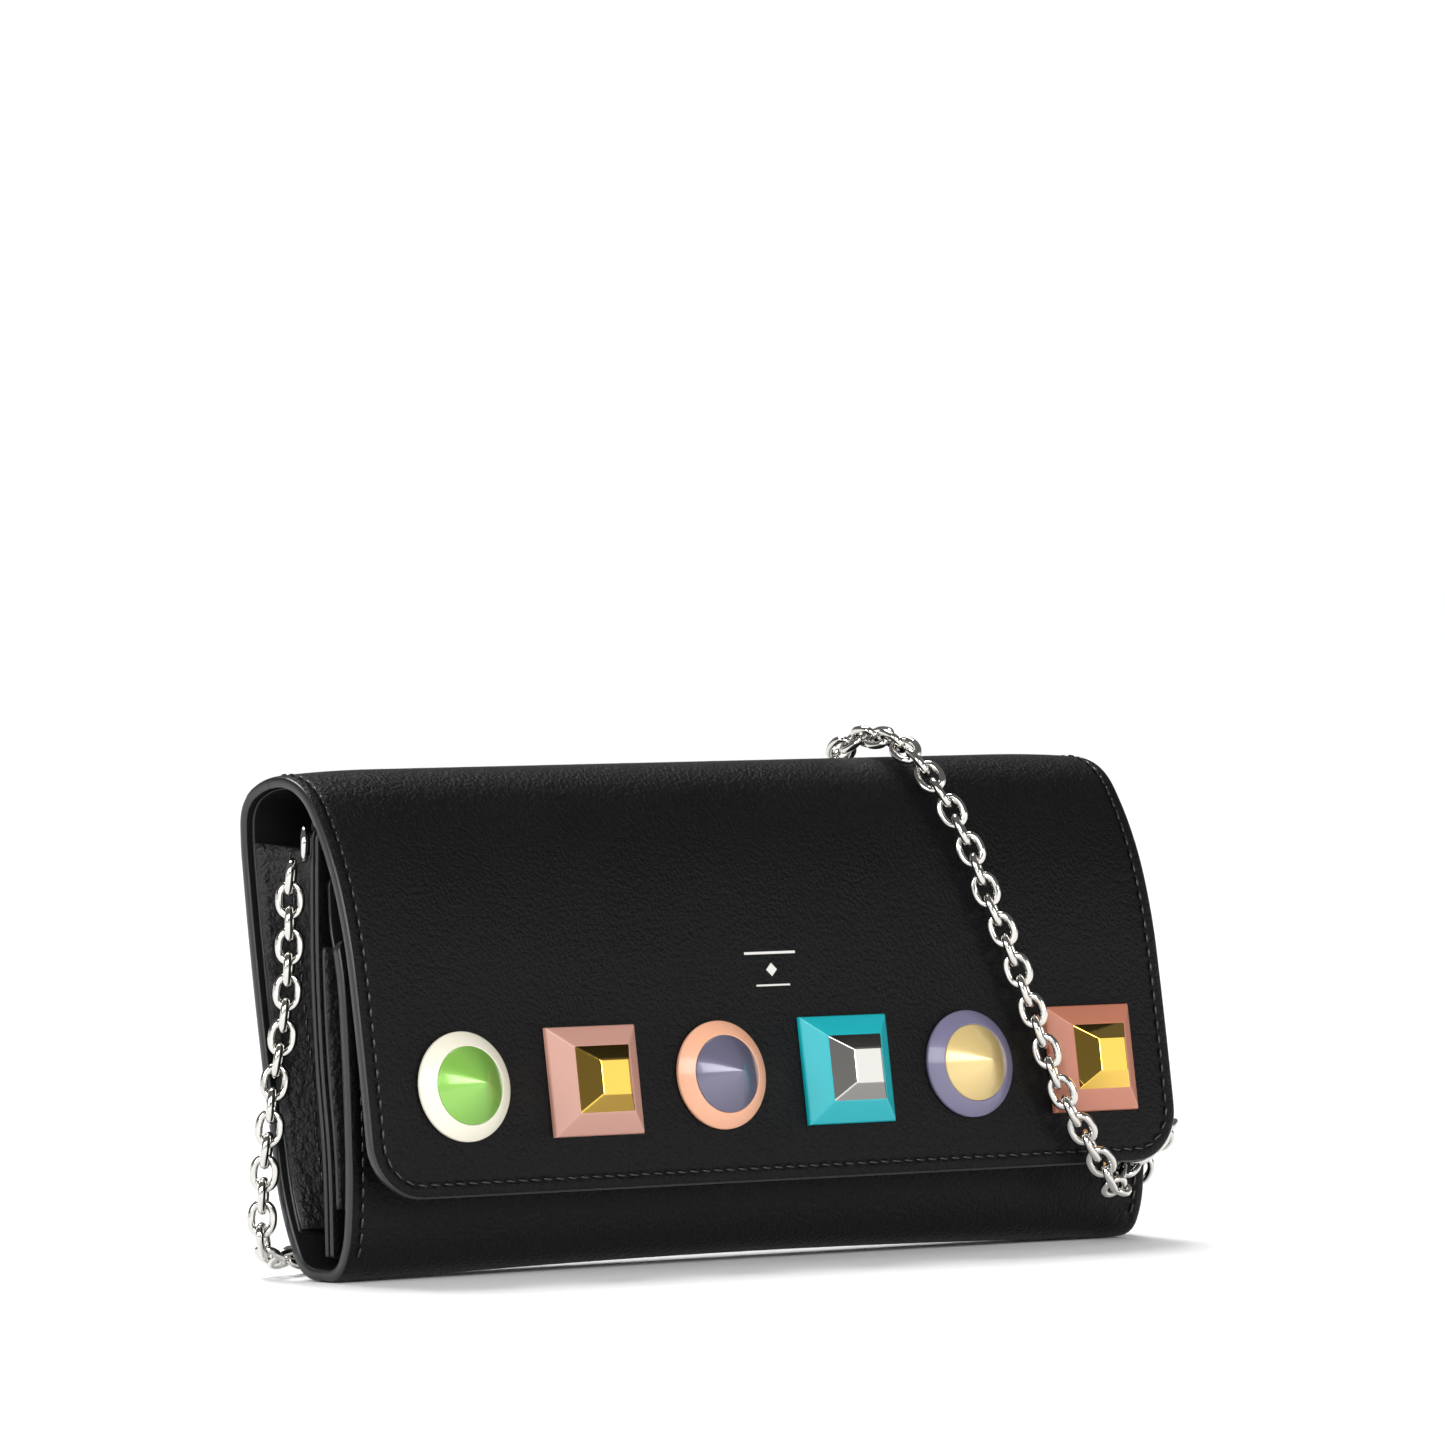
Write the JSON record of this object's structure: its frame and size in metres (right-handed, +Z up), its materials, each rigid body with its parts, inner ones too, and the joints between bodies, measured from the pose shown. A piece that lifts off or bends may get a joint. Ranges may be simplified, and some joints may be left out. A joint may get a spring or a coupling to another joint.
{
  "type": "chain wallet",
  "caption": "Long flap wallet in black leather on a link chain, with a row of coloured studs on the flap, a zipped middle pocket and folded gussets.",
  "frame": {"origin": "centre of the footprint of the wallet without its chain, on the surface it stands on", "axes": "+X to the right seen from the front, along the length; -Y to the front, where the flap hangs; +Z up"},
  "size_m": [0.2079, 0.0679, 0.1026],
  "materials": {
    "black_leather": "fine pebble grain, soft sheen",
    "black_lining": "smooth, matte",
    "zip_tape": "woven, matte",
    "silver_metal": "bright polished silver",
    "gold_metal": "polished gold plate",
    "ring_ivory": "satin enamel",
    "ring_peach": "satin enamel",
    "ring_lavender": "satin enamel",
    "cone_green": "pearl metallic enamel",
    "cone_purple_grey": "pearl metallic enamel",
    "cone_cream": "pearl metallic enamel",
    "frame_pink": "satin enamel",
    "frame_teal": "satin enamel",
    "frame_terracotta": "satin enamel"
  },
  "bodies": {
    "body": {"back_panel": "black_leather", "back_lining": "black_lining", "bottom_spine": "black_leather", "back_card_slot_1": "black_lining", "back_card_slot_2": "black_lining", "back_card_slot_3": "black_lining", "divider_back_wall": "black_leather", "divider_front_wall": "black_leather", "zip_tape_back": "zip_tape", "zip_tape_front": "zip_tape", "zip_teeth": "silver_metal", "zip_stop_left": "silver_metal", "zip_stop_right": "silver_metal", "gusset_back_left": "black_leather", "gusset_back_right": "black_leather", "gusset_front_left": "black_leather", "gusset_front_right": "black_leather", "anchor_tab_left": "black_leather", "anchor_tab_right": "black_leather", "anchor_rivet_left": "silver_metal", "anchor_rivet_right": "silver_metal", "anchor_ring_left": "silver_metal", "anchor_ring_right": "silver_metal", "chain_left_run": "silver_metal", "chain_back_run": "silver_metal", "chain_hank": "silver_metal"},
    "front_leaf": {"front_panel": "black_leather", "front_lining": "black_lining", "front_card_slot_1": "black_lining", "front_card_slot_2": "black_lining", "snap_post": "silver_metal"},
    "flap_bend": {"flap_bend": "black_leather", "flap_bend_lining": "black_lining", "chain_over_run": "silver_metal"},
    "flap": {"flap_panel": "black_leather", "flap_lining": "black_lining", "snap_socket": "silver_metal", "stud_1_ring": "ring_ivory", "stud_1_cone": "cone_green", "stud_1_screw": "silver_metal", "stud_2_frame": "frame_pink", "stud_2_tip": "gold_metal", "stud_2_screw": "silver_metal", "stud_3_ring": "ring_peach", "stud_3_cone": "cone_purple_grey", "stud_3_screw": "silver_metal", "stud_4_frame": "frame_teal", "stud_4_tip": "silver_metal", "stud_4_screw": "silver_metal", "stud_5_ring": "ring_lavender", "stud_5_cone": "cone_cream", "stud_5_screw": "silver_metal", "stud_6_frame": "frame_terracotta", "stud_6_tip": "gold_metal", "stud_6_screw": "silver_metal", "chain_front_run": "silver_metal"},
    "chain_upper": {"chain_upper_run": "silver_metal"},
    "chain_lower": {"chain_lower_run": "silver_metal"},
    "zip_slider": {"zip_slider": "silver_metal"},
    "zip_pull": {"zip_pull": "silver_metal"}
  },
  "joints": [
    {"name": "flap_back_bend", "type": "hinge", "parent": "body", "child": "flap_bend", "pos_m": [0, 0.02546, 0.0891], "axis": [-1, 0, 0], "range_deg": [0, 80], "deforming": ["chain_over_run", "chain_front_run", "chain_lower_run", "chain_upper_run"]},
    {"name": "flap_front_bend", "type": "hinge", "parent": "flap_bend", "child": "flap", "pos_m": [0, 0.00372, 0.09379], "axis": [-1, 0, 0], "range_deg": [0, 80], "deforming": ["chain_over_run", "chain_front_run", "chain_lower_run", "chain_upper_run"]},
    {"name": "front_opening", "type": "hinge", "parent": "body", "child": "front_leaf", "pos_m": [0, -0.00848, 0.004], "axis": [1, 0, 0], "range_deg": [0, 14], "deforming": ["gusset_front_left", "gusset_front_right"]},
    {"name": "chain_swing", "type": "hinge", "parent": "body", "child": "chain_upper", "pos_m": [0.0978, 0.0056, 0.0792], "axis": [-1, 0, 0], "range_deg": [0, 195], "deforming": ["chain_over_run", "chain_front_run", "chain_lower_run", "chain_upper_run"]},
    {"name": "chain_elbow", "type": "hinge", "parent": "chain_upper", "child": "chain_lower", "pos_m": [0.1014, 0.0175, 0.0034], "axis": [1, 0, 0], "range_deg": [0, 122], "deforming": ["chain_over_run", "chain_front_run", "chain_lower_run", "chain_upper_run"]},
    {"name": "zip_slide", "type": "slide", "parent": "body", "child": "zip_slider", "axis": [1, 0, 0], "range_m": [-0.148, 0]},
    {"name": "zip_pull_swing", "type": "hinge", "parent": "zip_slider", "child": "zip_pull", "pos_m": [0.074, 0.00575, 0.085], "axis": [1, 0, 0], "range_deg": [0, 85]}
  ],
  "couplings": [
    {"joint": "flap_front_bend", "follows": "flap_back_bend", "ratio": 1},
    {"joint": "front_opening", "follows": "flap_back_bend", "ratio": 0.175},
    {"joint": "chain_swing", "follows": "flap_back_bend", "ratio": 2.4319},
    {"joint": "chain_elbow", "follows": "flap_back_bend", "ratio": 1.5211}
  ]
}
